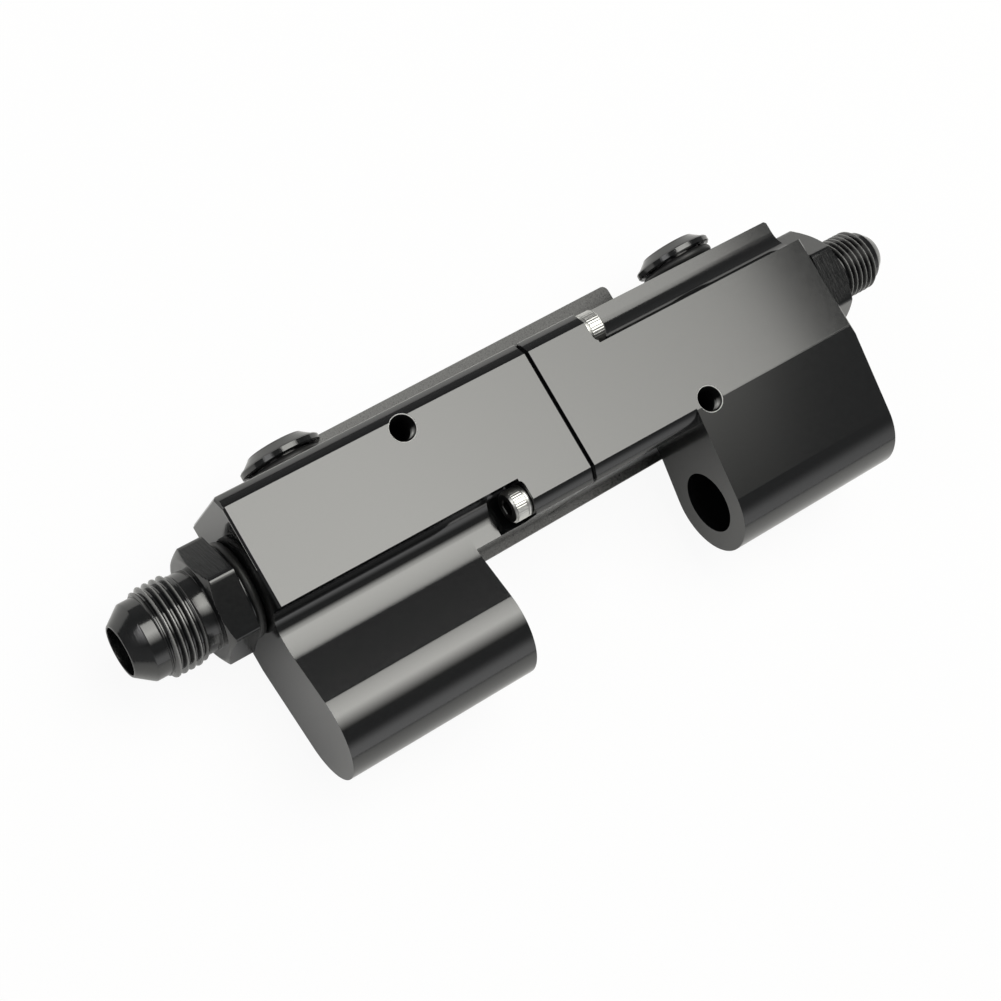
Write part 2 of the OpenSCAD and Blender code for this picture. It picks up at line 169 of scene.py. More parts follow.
@dataclass
class Shell:
    """Mesh that grows ring by ring round the X axis, in millimetres, with a value on each point for wear and
    painted highlight.

    Attributes:
        segments: Points round the axis.
        phase: Angle of the first point.
    """

    segments: int = 192
    phase: float = 0.0

    def __post_init__(self) -> None:
        """Starts with no points and no faces."""
        self.points: list[tuple[float, float, float]] = []
        self.wear_and_highlight: list[float] = []
        self.faces: list[tuple[int, ...]] = []
        self.angles = self.phase + np.arange(self.segments) * TURN / self.segments
        self.last: list[int] | None = None

    def _add(self, x: float, radius: float, angle: float, wear_and_highlight: float) -> int:
        """Adds one point and returns its index."""
        self.points.append((x, radius * math.cos(angle), radius * math.sin(angle)))
        self.wear_and_highlight.append(wear_and_highlight)
        return len(self.points) - 1

    def ring(self, x: float | np.ndarray, radii: float | np.ndarray, wear_and_highlight: float = 0.0) -> None:
        """Adds a ring and joins it to the one before.

        Args:
            x: Place along the axis, one value or one for each point.
            radii: Radius, one value or one for each point.
            wear_and_highlight: Value of the ring for wear and painted highlight.
        """
        places = np.broadcast_to(x, self.segments)
        sizes = np.broadcast_to(radii, self.segments)
        ring = [self._add(p, r, a, wear_and_highlight) for p, r, a in zip(places, sizes, self.angles)]
        if self.last is not None:
            for k in range(self.segments):
                n = (k + 1) % self.segments
                self.faces.append((self.last[k], self.last[n], ring[n], ring[k]))
        self.last = ring

    def outline(
        self, corners: Sequence[tuple[float, float]], rounding: float = 0.12, wear_and_highlight: float = 0.0,
    ) -> None:
        """Adds a turned surface.

        Args:
            corners: Its corners as (length, radius).
            rounding: Largest rounding of its corners.
            wear_and_highlight: Value of the surface for wear and painted highlight.
        """
        for x, r in rounded(corners, rounding):
            self.ring(x, r, wear_and_highlight)

    def thread(
        self, x0: float, x1: float, foot: float, crest: float, pitch: float, inward: bool = False,
    ) -> None:
        """Adds a right-hand helical thread that runs out into the plain foot radius at both ends.

        The ring before it has to be at x0 with the foot radius. The wear value is 1 on the crests.

        Args:
            x0: Start of the thread.
            x1: End of the thread.
            foot: Radius of the turned surface on both sides of the thread.
            crest: Crest radius.
            pitch: Distance between two crests.
            inward: True for the thread of a hole.
        """
        depth = THREAD_DEPTH * pitch * (-1 if inward else 1)
        wear_gain, wear_loss = THREAD_WEAR
        off_crest = [abs((t + 0.5) % 1 - 0.5) - THREAD_CREST for t in THREAD_STATIONS]
        heights = [1 - min(max(off / THREAD_FLANK, 0), 1) for off in off_crest]
        per_turn = len(THREAD_STATIONS)
        turns = int(math.ceil((x1 - x0) / pitch)) + 2
        columns: list[list[int]] = []
        for angle_index, angle in enumerate(self.angles):
            column = []
            for j in range(turns * per_turn + 1):
                lap, station = divmod(j, per_turn)
                raw = x0 + pitch * (lap - 1 + THREAD_STATIONS[station] + angle_index / self.segments)
                x = min(max(raw, x0), x1)
                fade = min(1.0, (x - x0) / (THREAD_FADE[0] * pitch), (x1 - x) / (THREAD_FADE[1] * pitch))
                height = heights[station]
                radius = foot + (crest - depth * (1 - height) - foot) * fade
                wear_and_highlight = max(0.0, height * wear_gain - wear_loss) * fade
                column.append(self._add(x, radius, angle, wear_and_highlight))
            columns.append(column)
        for k in range(self.segments):
            wrap = per_turn if k == self.segments - 1 else 0
            here, there = columns[k], columns[(k + 1) % self.segments]
            for j in range(len(here) - 1 - wrap):
                quad = (here[j], there[j + wrap], there[j + wrap + 1], here[j + 1])
                if len({round(self.points[i][0], 6) for i in quad}) > 1:
                    self.faces.append(quad)
        self.last = None
        self.ring(x1, foot)

    def build(self, name: str, place: Matrix, sharp: float = 32.0) -> bpy.types.Object:
        """Makes the object, closed and with sharp edges marked.

        Args:
            name: Name of the piece.
            place: Where the shell's own frame lies in the part's frame, in millimetres.
            sharp: Angle in degrees above which an edge is sharp.

        Returns:
            The new object, at the origin, with its place in its mesh.
        """
        mesh = bpy.data.meshes.new(name)
        moved = [tuple((place @ Vector(p)) * MM) for p in self.points]
        mesh.from_pydata(moved, [], self.faces)
        wear_and_highlight = mesh.attributes.new("wear_and_highlight", "FLOAT", "POINT")
        wear_and_highlight.data.foreach_set("value", self.wear_and_highlight)
        work = bmesh.new()
        work.from_mesh(mesh)
        bmesh.ops.remove_doubles(work, verts=work.verts, dist=WELD)
        bmesh.ops.recalc_face_normals(work, faces=work.faces)
        for edge in work.edges:
            edge.smooth = len(edge.link_faces) != 2 or edge.calc_face_angle(0.0) < math.radians(sharp)
        for face in work.faces:
            face.smooth = True
        work.to_mesh(mesh)
        work.free()
        made = bpy.data.objects.new(name, mesh)
        bpy.context.scene.collection.objects.link(made)
        return made


def add_node(
    tree: bpy.types.NodeTree, kind: str, at: tuple[float, float], **values: object,
) -> bpy.types.Node:
    """Adds a node and sets its plain properties.

    Args:
        tree: The node tree.
        kind: Blender's name of the node type.
        at: Place in the editor.
        **values: Properties of the node.

    Returns:
        The new node.
    """
    node = tree.nodes.new(kind)
    node.location = at
    for name, value in values.items():
        setattr(node, name, value)
    return node


def grain_group() -> bpy.types.NodeTree:
    """Shader group for a fine surface grain.

    Returns:
        A group with inputs Scale, Detail and Contrast and outputs Value and Height.
    """
    found = bpy.data.node_groups.get("surface_grain")
    if found is not None:
        return found
    tree = bpy.data.node_groups.new("surface_grain", "ShaderNodeTree")
    face = tree.interface
    for name, value in (("Scale", 900.0), ("Detail", 3.0), ("Contrast", 1.0)):
        socket = face.new_socket(name, in_out="INPUT", socket_type="NodeSocketFloat")
        socket.default_value = value
    for name in ("Value", "Height"):
        face.new_socket(name, in_out="OUTPUT", socket_type="NodeSocketFloat")
    source = add_node(tree, "NodeGroupInput", (-800, 0))
    sink = add_node(tree, "NodeGroupOutput", (400, 0))
    where = add_node(tree, "ShaderNodeTexCoord", (-800, 200))
    noise = add_node(tree, "ShaderNodeTexNoise", (-500, 100))
    centred = add_node(tree, "ShaderNodeMath", (-250, 100), operation="SUBTRACT")
    centred.inputs[1].default_value = 0.5
    scaled = add_node(tree, "ShaderNodeMath", (-50, 100), operation="MULTIPLY_ADD")
    scaled.inputs[2].default_value = 0.5
    link = tree.links.new
    link(where.outputs["Object"], noise.inputs["Vector"])
    link(source.outputs["Scale"], noise.inputs["Scale"])
    link(source.outputs["Detail"], noise.inputs["Detail"])
    link(noise.outputs["Fac"], centred.inputs[0])
    link(centred.outputs[0], scaled.inputs[0])
    link(source.outputs["Contrast"], scaled.inputs[1])
    link(scaled.outputs[0], sink.inputs["Value"])
    link(noise.outputs["Fac"], sink.inputs["Height"])
    return tree


def chain(
    tree: bpy.types.NodeTree, value: bpy.types.NodeSocket,
    *steps: tuple[str, float | bpy.types.NodeSocket | None],
) -> bpy.types.NodeSocket:
    """Puts a value through a row of Math nodes.

    Args:
        tree: The node tree.
        value: Socket that the row starts from.
        *steps: Each step's operation and its second number or socket, None where it has one input.

    Returns:
        The last node's output.
    """
    for operation, other in steps:
        row, column = divmod(len(tree.nodes), 10)
        node = add_node(tree, "ShaderNodeMath", (180 * column, -700 - 180 * row), operation=operation)
        tree.links.new(value, node.inputs[0])
        if isinstance(other, (int, float)):
            node.inputs[1].default_value = other
        elif other is not None:
            tree.links.new(other, node.inputs[1])
        value = node.outputs[0]
    return value


def ramp(
    tree: bpy.types.NodeTree, value: bpy.types.NodeSocket, ends: tuple[float, float],
    levels: tuple[float, float], at: tuple[float, float], kind: str = "LINEAR",
) -> bpy.types.NodeSocket:
    """Maps a value to a level that runs from one to another and stays there past both ends.

    Args:
        tree: The node tree.
        value: Socket with the value.
        ends: Values where the change starts and ends.
        levels: Levels at those two values.
        at: Place in the editor.
        kind: Blender's name of the interpolation.

    Returns:
        The node's output.
    """
    node = add_node(tree, "ShaderNodeMapRange", at, interpolation_type=kind)
    for name, number in zip(("From Min", "From Max", "To Min", "To Max"), (*ends, *levels)):
        node.inputs[name].default_value = number
    tree.links.new(value, node.inputs["Value"])
    return node.outputs["Result"]


def bumped(
    tree: bpy.types.NodeTree, height: bpy.types.NodeSocket, at: tuple[float, float], strength: float,
    distance: float, normal: bpy.types.NodeSocket | None = None,
) -> bpy.types.NodeSocket:
    """Tilts the normal by a height.

    Args:
        tree: The node tree.
        height: Socket with the height.
        at: Place in the editor.
        strength: Strength of the bump.
        distance: Metres that a height of 1 stands for.
        normal: Normal to start from, the surface's own where it is None.

    Returns:
        The new normal.
    """
    node = add_node(tree, "ShaderNodeBump", at)
    node.inputs["Strength"].default_value = strength
    node.inputs["Distance"].default_value = distance
    tree.links.new(height, node.inputs["Height"])
    if normal is not None:
        tree.links.new(normal, node.inputs["Normal"])
    return node.outputs["Normal"]


def machined_group() -> bpy.types.NodeTree:
    """Shader group for the blocks' round long bevels, their chamfers at the seam and the end faces, and a
    highlight painted along the upper bevels' outer edges.

    Returns:
        A group with two inputs in metres, the width of the painted highlight and that of the chamfers, and
        outputs Height, in metres, and a mask which is 1 along the outer edges of the bevels on the +Y side,
        where the highlight is painted.
    """
    found = bpy.data.node_groups.get("machined_form")
    if found is not None:
        return found
    tree = bpy.data.node_groups.new("machined_form", "ShaderNodeTree")
    face = tree.interface
    for name, width in (("HighlightWidth", PAINTED_HIGHLIGHT_WIDTH), ("Chamfer", CHAMFER_WIDTH)):
        socket = face.new_socket(name, in_out="INPUT", socket_type="NodeSocketFloat")
        socket.default_value = width * MM
    for name in ("Height", "Edge"):
        face.new_socket(name, in_out="OUTPUT", socket_type="NodeSocketFloat")
    source = add_node(tree, "NodeGroupInput", (-900, 300))
    sink = add_node(tree, "NodeGroupOutput", (900, 0))
    where = add_node(tree, "ShaderNodeTexCoord", (-1100, 0))
    parts = add_node(tree, "ShaderNodeSeparateXYZ", (-900, 0))
    tree.links.new(where.outputs["Object"], parts.inputs[0])
    x, y, z = (parts.outputs[axis] for axis in "XYZ")
    side = chain(tree, y, ("ABSOLUTE", None), ("SUBTRACT", BEVEL_MID * MM))
    front = chain(tree, z, ("SUBTRACT", FLOW_Z * MM), ("ABSOLUTE", None), ("SUBTRACT", BEVEL_MID * MM))
    across, down = BEVEL_RUN
    along = chain(tree, side, ("MULTIPLY", across), ("SUBTRACT", chain(tree, front, ("MULTIPLY", down))))
    off = chain(tree, side, ("MULTIPLY", down), ("ADD", chain(tree, front, ("MULTIPLY", across))))
    on_bevel = chain(tree, off, ("ABSOLUTE", None), ("LESS_THAN", ON_PLANE * MM))
    crown = chain(
        tree, along, ("MULTIPLY", along), ("MULTIPLY", -1.0), ("ADD", (BEVEL_HALF * MM) ** 2),
        ("MAXIMUM", 0.0), ("DIVIDE", 2 * BEVEL_ROUND * MM), ("MULTIPLY", on_bevel),
    )
    chamfer = source.outputs["Chamfer"]
    above = chain(tree, y, ("GREATER_THAN", 0.0))
    at_bevel = chain(tree, off, ("MULTIPLY", above))
    at_face = chain(tree, front, ("ADD", (BEVEL_MID - FACE_Z) * MM))
    on_end = chain(tree, x, ("ABSOLUTE", None), ("GREATER_THAN", (BLOCK_L - END_BAND) * MM))
    end = chain(
        tree, at_face, ("MAXIMUM", at_bevel), ("ADD", chamfer), ("MAXIMUM", 0.0), ("MULTIPLY", on_end),
    )
    right = chain(tree, x, ("GREATER_THAN", 0.0))
    seam = chain(tree, x, ("MULTIPLY", -1.0), ("ADD", chamfer), ("MAXIMUM", 0.0), ("MULTIPLY", right))
    height = chain(tree, crown, ("SUBTRACT", end), ("SUBTRACT", seam))
    inner = chain(tree, source.outputs["HighlightWidth"], ("MULTIPLY", -1.0), ("ADD", BEVEL_HALF * MM))
    upper = chain(tree, above, ("MULTIPLY", on_bevel))
    # Mask of the highlight painted along the outer edges of the bevels on the +Y side
    edge = chain(tree, along, ("GREATER_THAN", inner), ("MULTIPLY", upper))
    tree.links.new(height, sink.inputs["Height"])
    tree.links.new(edge, sink.inputs["Edge"])
    return tree


GRAIN_CONTRAST = 1.6
STREAK_SCALE = (4200.0, 330.0, 330.0)  # cells a metre of the turning marks, fine along X
STREAK_DEPTH = 0.00003  # metres


@dataclass(frozen=True)
class Finish:
    """A finish with a fine grain in its colour, gloss and relief, bare metal where it is worn, and a paler
    colour where a highlight is painted.

    Attributes:
        name: Name of the material.
        dark: Colour in the grain's low places.
        pale: Colour in the grain's high places.
        roughness: Lowest and highest roughness.
        metallic: How metallic the finish is.
        ior: Index of refraction.
        scale: Grain scale, in cells a metre.
        relief: Strength of the grain's bump.
        depth: Height of the grain in metres.
        wear_and_highlight_colour: Colour of the worn crests and of the painted highlights.
        wear_and_highlight: How strongly the wear and the painted highlights show.
        streaks: Strength of the turning marks round the flow axis.
        machined: True for the blocks' chamfers and round bevels, with a highlight painted along the upper
            bevels' outer edges.
    """

    name: str
    dark: tuple[float, float, float]
    pale: tuple[float, float, float]
    roughness: tuple[float, float]
    metallic: float = 0.0
    ior: float = 1.5
    scale: float = 2500.0
    relief: float = 0.2
    depth: float = 0.00002
    wear_and_highlight_colour: tuple[float, float, float] = (0.3, 0.3, 0.3)
    wear_and_highlight: float = 0.0
    streaks: float = 0.0
    machined: bool = False

    def material(self) -> bpy.types.Material:
        """Builds the material once and returns it."""
        found = bpy.data.materials.get(self.name)
        if found is not None:
            return found
        made = bpy.data.materials.new(self.name)
        made.use_nodes = True
        tree = made.node_tree
        tree.nodes.clear()
        link = tree.links.new
        out = add_node(tree, "ShaderNodeOutputMaterial", (700, 0))
        shader = add_node(tree, "ShaderNodeBsdfPrincipled", (400, 0))
        grain = add_node(tree, "ShaderNodeGroup", (-500, 0), node_tree=grain_group())
        grain.inputs["Scale"].default_value = self.scale
        grain.inputs["Contrast"].default_value = GRAIN_CONTRAST
        tint = add_node(tree, "ShaderNodeMix", (-200, 200), data_type="RGBA")
        tint.inputs["A"].default_value = (*self.dark, 1)
        tint.inputs["B"].default_value = (*self.pale, 1)
        link(grain.outputs["Value"], tint.inputs["Factor"])
        gloss = ramp(tree, grain.outputs["Value"], (0.0, 1.0), self.roughness, (-200, -100))
        colour = tint.outputs["Result"]
        normal = bumped(tree, grain.outputs["Height"], (-200, -350), self.relief, self.depth)
        if self.streaks:
            normal = self._turned(tree, normal)
        if self.machined:
            form = add_node(tree, "ShaderNodeGroup", (-200, -600), node_tree=machined_group())
            normal = bumped(tree, form.outputs["Height"], (100, -500), 1.0, 1.0, normal)
            # Paints a highlight along the outer edges of the bevels on the +Y side
            colour = self._mix_wear_and_highlight(tree, colour, form.outputs["Edge"])
        elif self.wear_and_highlight:
            wear_and_highlight = add_node(tree, "ShaderNodeAttribute", (-500, 450), attribute_name="wear_and_highlight")
            colour = self._mix_wear_and_highlight(tree, colour, wear_and_highlight.outputs["Fac"])
        link(colour, shader.inputs["Base Color"])
        link(gloss, shader.inputs["Roughness"])
        link(normal, shader.inputs["Normal"])
        shader.inputs["Metallic"].default_value = self.metallic
        shader.inputs["IOR"].default_value = self.ior
        link(shader.outputs["BSDF"], out.inputs["Surface"])
        return made

    def _turned(self, tree: bpy.types.NodeTree, normal: bpy.types.NodeSocket) -> bpy.types.NodeSocket:
        """Adds fine turning marks round the X axis to a normal and returns the result."""
        where = add_node(tree, "ShaderNodeTexCoord", (-900, -700))
        stretch = add_node(tree, "ShaderNodeMapping", (-700, -700))
        stretch.inputs["Scale"].default_value = STREAK_SCALE
        marks = add_node(tree, "ShaderNodeTexNoise", (-500, -700))
        marks.inputs["Scale"].default_value = 1.0
        marks.inputs["Detail"].default_value = 2.0
        tree.links.new(where.outputs["Object"], stretch.inputs["Vector"])
        tree.links.new(stretch.outputs[0], marks.inputs["Vector"])
        return bumped(tree, marks.outputs["Fac"], (-200, -700), self.streaks, STREAK_DEPTH, normal)

    def _mix_wear_and_highlight(
        self, tree: bpy.types.NodeTree, colour: bpy.types.NodeSocket, where: bpy.types.NodeSocket,
    ) -> bpy.types.NodeSocket:
        """Mixes the colour for wear and painted highlight over the given one where the mask is high and
        returns the result.
        """
        mix = add_node(tree, "ShaderNodeMix", (0, 300), data_type="RGBA")
        mix.inputs["B"].default_value = (*self.wear_and_highlight_colour, 1)
        tree.links.new(chain(tree, where, ("MULTIPLY", self.wear_and_highlight)), mix.inputs["Factor"])
        tree.links.new(colour, mix.inputs["A"])
        return mix.outputs["Result"]


BLACK = ((0.003, 0.0033, 0.0036), (0.0055, 0.006, 0.0063))
# The blocks' paler colour is a highlight painted along the upper bevels' outer edges
ANODISED = Finish(
    "block_anodised", *BLACK, (0.11, 0.14), ior=1.75, relief=0.02, scale=1200.0, wear_and_highlight_colour=(0.5, 0.5, 0.49),
    wear_and_highlight=0.45, machined=True,
)
FITTING = Finish(
    "fitting_anodised", *BLACK, (0.11, 0.15), ior=1.7, relief=0.05, scale=1200.0, wear_and_highlight_colour=(0.45, 0.45, 0.44),
    wear_and_highlight=0.4, streaks=0.5,
)
STEEL = Finish(
    "knurled_steel", (0.06, 0.06, 0.058), (0.13, 0.13, 0.127), (0.28, 0.42), metallic=1.0, relief=0.2,
    scale=2200.0, wear_and_highlight_colour=(0.62, 0.62, 0.6), wear_and_highlight=1.0,
)
PLATED = Finish(
    "plated_steel", (0.55, 0.55, 0.53), (0.75, 0.75, 0.73), (0.24, 0.38), metallic=1.0, relief=0.2,
    scale=2200.0,
)
# Its pale colour is a highlight painted in the tapped holes, round the mouth and on one side of the wall
TAPPED = Finish(
    "tapped_thread", (0.002, 0.002, 0.002), (0.004, 0.004, 0.004), (0.45, 0.6), ior=1.12, relief=0.2,
    scale=1500.0, wear_and_highlight_colour=(0.85, 0.85, 0.83), wear_and_highlight=1.0,
)
COATED = Finish(
    "blasted_coating", (0.004, 0.004, 0.004), (0.13, 0.13, 0.128), (0.2, 0.46), scale=3000.0, relief=0.8,
    depth=0.00006,
)
RUBBER = Finish("moulded_rubber", (0.008, 0.008, 0.008), (0.014, 0.014, 0.014), (0.4, 0.5))


def dress(piece: bpy.types.Object, finish: Finish) -> None:
    """Gives a piece its finish.

    Args:
        piece: The object.
        finish: Its finish.
    """
    piece.data.materials.clear()
    piece.data.materials.append(finish.material())


@dataclass
class Fitting:
    """End fitting with a hexagon and a threaded nose with a flare cone.

    Attributes:
        way: End of the fuel way.
        thread_r: Crest radius of the nose's thread.
        pitch: Pitch of that thread.
        nose_l: Length outside the hexagon.
        collar_l: Length of the plain land before the cone.
        bore_r: Radius of the bore.
        hex_turn: Angle of the hexagon about the flow axis, in degrees.
        port_r: Crest radius of the thread in the block.
        shank_l: Length of the shank in the block.
        shank_chamfer: Chamfer at the shank's end.
        gap: Distance from the block to the hexagon.
        washer: Height of the hexagon's round shoulder.
        hex_af: Width of the hexagon across flats.
        hex_l: Length of the hexagon.
        hex_edge: How much the hexagon's corners and its inner edge are broken.
        cut_angle: Angle of the chamfer on the hexagon's outer side to its face, in degrees.
        cut_past: How far that chamfer reaches inside the flats.
        cut_steps: Rings of that chamfer.
        face_in: How far inside the flats the plain ring of the outer face starts.
        washer_in: How far the round shoulder lies inside the flats.
        neck_r: Radius under the seal.
        neck_l: How far the neck reaches into the block.
        relief_l: Length of the plain neck between hexagon and thread.
        relief_depth: How far that neck lies under the crests.
        land_depth: How far the land before the cone lies under the crests.
        lip: Width of the ring round the bore's mouth.
        cone_angle: Angle of the flare cone to the axis, in degrees.
    """

    way: Way
    thread_r: float
    pitch: float
    nose_l: float
    collar_l: float
    bore_r: float
    hex_turn: float
    port_r: float = 9.525
    shank_l: float = 12.5
    shank_chamfer: float = 0.7
    gap: float = 2.8
    washer: float = 0.5
    hex_af: float = 22.2
    hex_l: float = 6.4
    hex_edge: float = 0.12
    cut_angle: float = 30.0
    cut_past: float = 0.1
    cut_steps: int = 14
    face_in: float = 0.6
    washer_in: float = 0.4
    neck_r: float = 8.225
    neck_l: float = 2.5
    relief_l: float = 2.8
    relief_depth: float = 0.9
    land_depth: float = 1.2
    lip: float = 0.45
    cone_angle: float = 37.0

    def build(self) -> bpy.types.Object:
        """Builds the fitting and hides its CAD node.

        Returns:
            The new piece.
        """
        shell = Shell(phase=math.radians(self.hex_turn))
        hex_end = self.gap + self.hex_l
        relief_r = self.thread_r - self.relief_depth
        nose_r = self.thread_r - self.land_depth
        tip = hex_end + self.nose_l
        mouth_r = self.bore_r + self.lip
        cone = tip - (nose_r - mouth_r) / math.tan(math.radians(self.cone_angle))
        land = cone - self.collar_l
        thread_start = hex_end + self.relief_l
        apothem = self.hex_af / 2
        shell.outline([
            (0, self.bore_r), (-self.shank_l, self.bore_r), (-self.shank_l, self.port_r - self.shank_chamfer),
            (self.shank_chamfer - self.shank_l, self.port_r), (-self.neck_l, self.port_r),
            (-self.neck_l, self.neck_r), (self.gap - self.washer, self.neck_r),
            (self.gap - self.washer, apothem - self.washer_in), (self.gap, apothem - self.washer_in),
        ])
        self._hexagon(shell, hex_end)
        shell.outline([(hex_end, apothem - self.face_in), (hex_end, relief_r), (thread_start, relief_r)])
        shell.thread(thread_start, land, relief_r, self.thread_r, self.pitch)
        shell.outline([
            (land, relief_r), (land, nose_r), (cone, nose_r), (tip, mouth_r), (tip, self.bore_r),
            (0, self.bore_r),
        ], rounding=0.2)
        side = Matrix.Diagonal((self.way.value, 1, 1, 1))
        place = Matrix.Translation((0, 0, FLOW_Z)) @ side @ Matrix.Translation((BLOCK_L, 0, 0))
        node = f"{self.way.name.lower()}_fitting"
        piece = shell.build(f"{node}_threaded", place)
        dress(piece, FITTING)
        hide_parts(node)
        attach(piece, BODY)
        return piece

    def _hexagon(self, shell: Shell, end: float) -> None:
        """Adds the hexagon's flats and the chamfer on its outer side."""
        radii = hexagon_radii(shell.angles - shell.phase, self.hex_af, corner=self.hex_edge)
        corner = float(radii.max())
        run = corner - self.hex_af / 2 + self.cut_past
        chamfer = run * math.tan(math.radians(self.cut_angle))
        shell.ring(self.gap, radii - self.hex_edge)
        shell.ring(self.gap + self.hex_edge, radii)
        shell.ring(end - chamfer, radii)
        for i in range(1, self.cut_steps + 1):
            drop = i / self.cut_steps
            shell.ring(end - chamfer * (1 - drop), np.minimum(radii, corner - run * drop))


@dataclass
class ClampScrew:
    """Socket head screw with a knurled head.

    Attributes:
        node: CAD node that it stands for.
        seat: Place of the seat under the head, in the flow axis frame.
        way: Direction that the head points to, along X.
        head_r: Radius of the head.
        head_l: Height of the head.
        shank_r: Radius of the shank.
        shank_l: Length of the shank.
        ribs: Number of ribs round the head.
        rib_depth: Depth between two ribs.
        groove: Depth of the plain groove between the ribs and the head's foot.
        socket_af: Width of the hexagon socket across flats.
        socket_l: Depth of the socket.
    """

    node: str
    seat: tuple[float, float, float]
    way: Way
    head_r: float = 3.5
    head_l: float = 4.0
    shank_r: float = 2.0
    shank_l: float = 30.0
    ribs: int = 40
    rib_depth: float = 0.05
    groove: float = 0.12
    socket_af: float = 3.0
    socket_l: float = 2.2

    def build(self) -> bpy.types.Object:
        """Builds the screw and hides its CAD node.

        Returns:
            The new piece.
        """
        shell = Shell(segments=self.ribs * 8)
        wave = np.abs((shell.angles / TURN * self.ribs) % 1 - 0.5) * 2
        knurl = self.head_r - self.rib_depth * np.clip(1.5 * wave - 0.25, 0, 1)
        shell.ring(-self.shank_l, 0.0)
        shell.outline([
            (-self.shank_l, 0.3), (-self.shank_l, self.shank_r - 0.5), (0.5 - self.shank_l, self.shank_r),
            (0, self.shank_r),
        ])
        groove_r = self.head_r - self.groove
        foot = [(0, self.head_r - 0.3), (0.2, self.head_r), (0.85, self.head_r), (0.95, groove_r)]
        shell.outline(foot, wear_and_highlight=1.0)
        shell.ring(1.1, groove_r, wear_and_highlight=0.5)
        shell.ring(1.2, knurl, wear_and_highlight=1.0)
        shell.ring(self.head_l - 0.45, knurl, wear_and_highlight=1.0)
        shell.ring(self.head_l - 0.35, np.minimum(knurl, self.head_r - 0.16), wear_and_highlight=1.0)
        rim = [(self.head_l - 0.3, self.head_r - 0.18), (self.head_l, self.head_r - 0.45)]
        shell.outline(rim, wear_and_highlight=1.0)
        shell.outline([(self.head_l, self.head_r - 0.5), (self.head_l, self.socket_af / 2 + 0.5)])
        socket = hexagon_radii(shell.angles, self.socket_af)
        shell.ring(self.head_l, socket + 0.12)
        shell.ring(self.head_l - 0.15, socket)
        shell.ring(self.head_l - self.socket_l, socket)
        shell.ring(self.head_l - self.socket_l - 0.6, 0.0)
        x, y, z = self.seat
        turn = Matrix.Diagonal((self.way.value, 1, 1, 1))
        piece = shell.build(f"{self.node}_knurled", Matrix.Translation((x, y, z + FLOW_Z)) @ turn)
        dress(piece, STEEL)
        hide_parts(self.node)
        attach(piece, BODY)
        return piece


@dataclass
class TappedHole:
    """Thread of a tapped hole in the front face, as a thin lining of the CAD's plain bore.

    Attributes:
        name: Name of the hole.
        at: Place of its axis, X and Y.
        inner_r: Radius inside the thread.
        bore_r: Radius of the lining, just inside the CAD's bore.
        top_z: Height of the front face.
        depth: Depth of the lining.
        pitch: Pitch of the thread.
        foot_out: How far the plain way before and behind the thread lies outside its crests.
        painted_rim_l: Depth of the highlight painted round the mouth.
        highlight_angle: Angle of the side of the wall where a highlight is painted, in radians.
        highlight_half: Half the width of the painted highlight, in radians.
        highlight_depth: Depth of its middle.
        highlight_reach: Half its height.
    """

    name: str
    at: tuple[float, float]
    inner_r: float = 2.38
    bore_r: float = 2.98
    top_z: float = FLOW_Z + FACE_Z
    depth: float = 10.9
    pitch: float = 1.0
    foot_out: float = 0.35
    painted_rim_l: float = 0.25
    highlight_angle: float = 0.72
    highlight_half: float = 0.55
    highlight_depth: float = 2.0
    highlight_reach: float = 1.7

    def build(self) -> bpy.types.Object:
        """Builds the lining and returns it."""
        shell = Shell(segments=96)
        foot = self.inner_r + self.foot_out
        shell.ring(self.depth, 0.0)
        shell.ring(self.depth, self.bore_r)
        # The first rings carry a highlight painted round the mouth
        shell.outline([(0.06, self.bore_r), (0.2, self.bore_r - 0.12)], wear_and_highlight=1.0)
        shell.outline([(0.28, self.bore_r - 0.15), (0.7, self.inner_r + 0.1), (0.75, foot)], 0.05)
        shell.thread(0.75, self.depth - 0.5, foot, self.inner_r, self.pitch, inward=True)
        shell.ring(self.depth - 0.2, foot)
        shell.ring(self.depth - 0.2, 0.0)
        self._paint_highlight(shell)
        x, y = self.at
        turn = Matrix(((0, 1, 0, x), (0, 0, -1, y), (-1, 0, 0, self.top_z), (0, 0, 0, 1)))
        piece = shell.build(self.name, turn)
        dress(piece, TAPPED)
        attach(piece, BODY)
        return piece

    def _paint_highlight(self, shell: Shell) -> None:
        """Sets the mask under the painted rim: a highlight painted on one side of the wall near the first
        turns, else none.
        """
        for i, (depth, across, along) in enumerate(shell.points):
            if depth > self.painted_rim_l:
                off = abs(math.remainder(math.atan2(along, across) - self.highlight_angle, TURN))
                low = abs(depth - self.highlight_depth)
                shell.wear_and_highlight[i] = max(0.0, 1 - off / self.highlight_half) * max(0.0, 1 - low / self.highlight_reach)


@dataclass
class Machined:
    """CAD nodes that keep their shape and take a finish, with their sharp edges broken.

    Attributes:
        nodes: Names of the nodes.
        finish: Their finish.
        slot: The record's slot; not used.
        edge: Width of the broken edges, 0 for none. Blunt corners between two faces get less.
    """

    nodes: tuple[str, ...]
    finish: Finish
    slot: Slot
    edge: float = 0.0

    def build(self, shown: dict[str, bpy.types.Object]) -> list[bpy.types.Object]:
        """Dresses the nodes.

        Args:
            shown: The frame's nodes by name.

        Returns:
            The dressed nodes.
        """
        for name in self.nodes:
            piece = shown[name]
            dress(piece, self.finish)
            if self.edge:
                kinds = (
                    ("square_edges", self.edge, SQUARE_EDGE),
                    ("blunt_edges", BLUNT_SHARE * self.edge, BLUNT_EDGE),
                )
                for kind, width, angle in kinds:
                    bevel = piece.modifiers.new(kind, "BEVEL")
                    bevel.width = width * MM
                    bevel.segments = 2
                    bevel.limit_method = "ANGLE"
                    bevel.angle_limit = math.radians(angle)
                    bevel.harden_normals = True
        return [shown[name] for name in self.nodes]


FALL_POWER = 1.3  # bends the fade to -Y, so that it ends softly


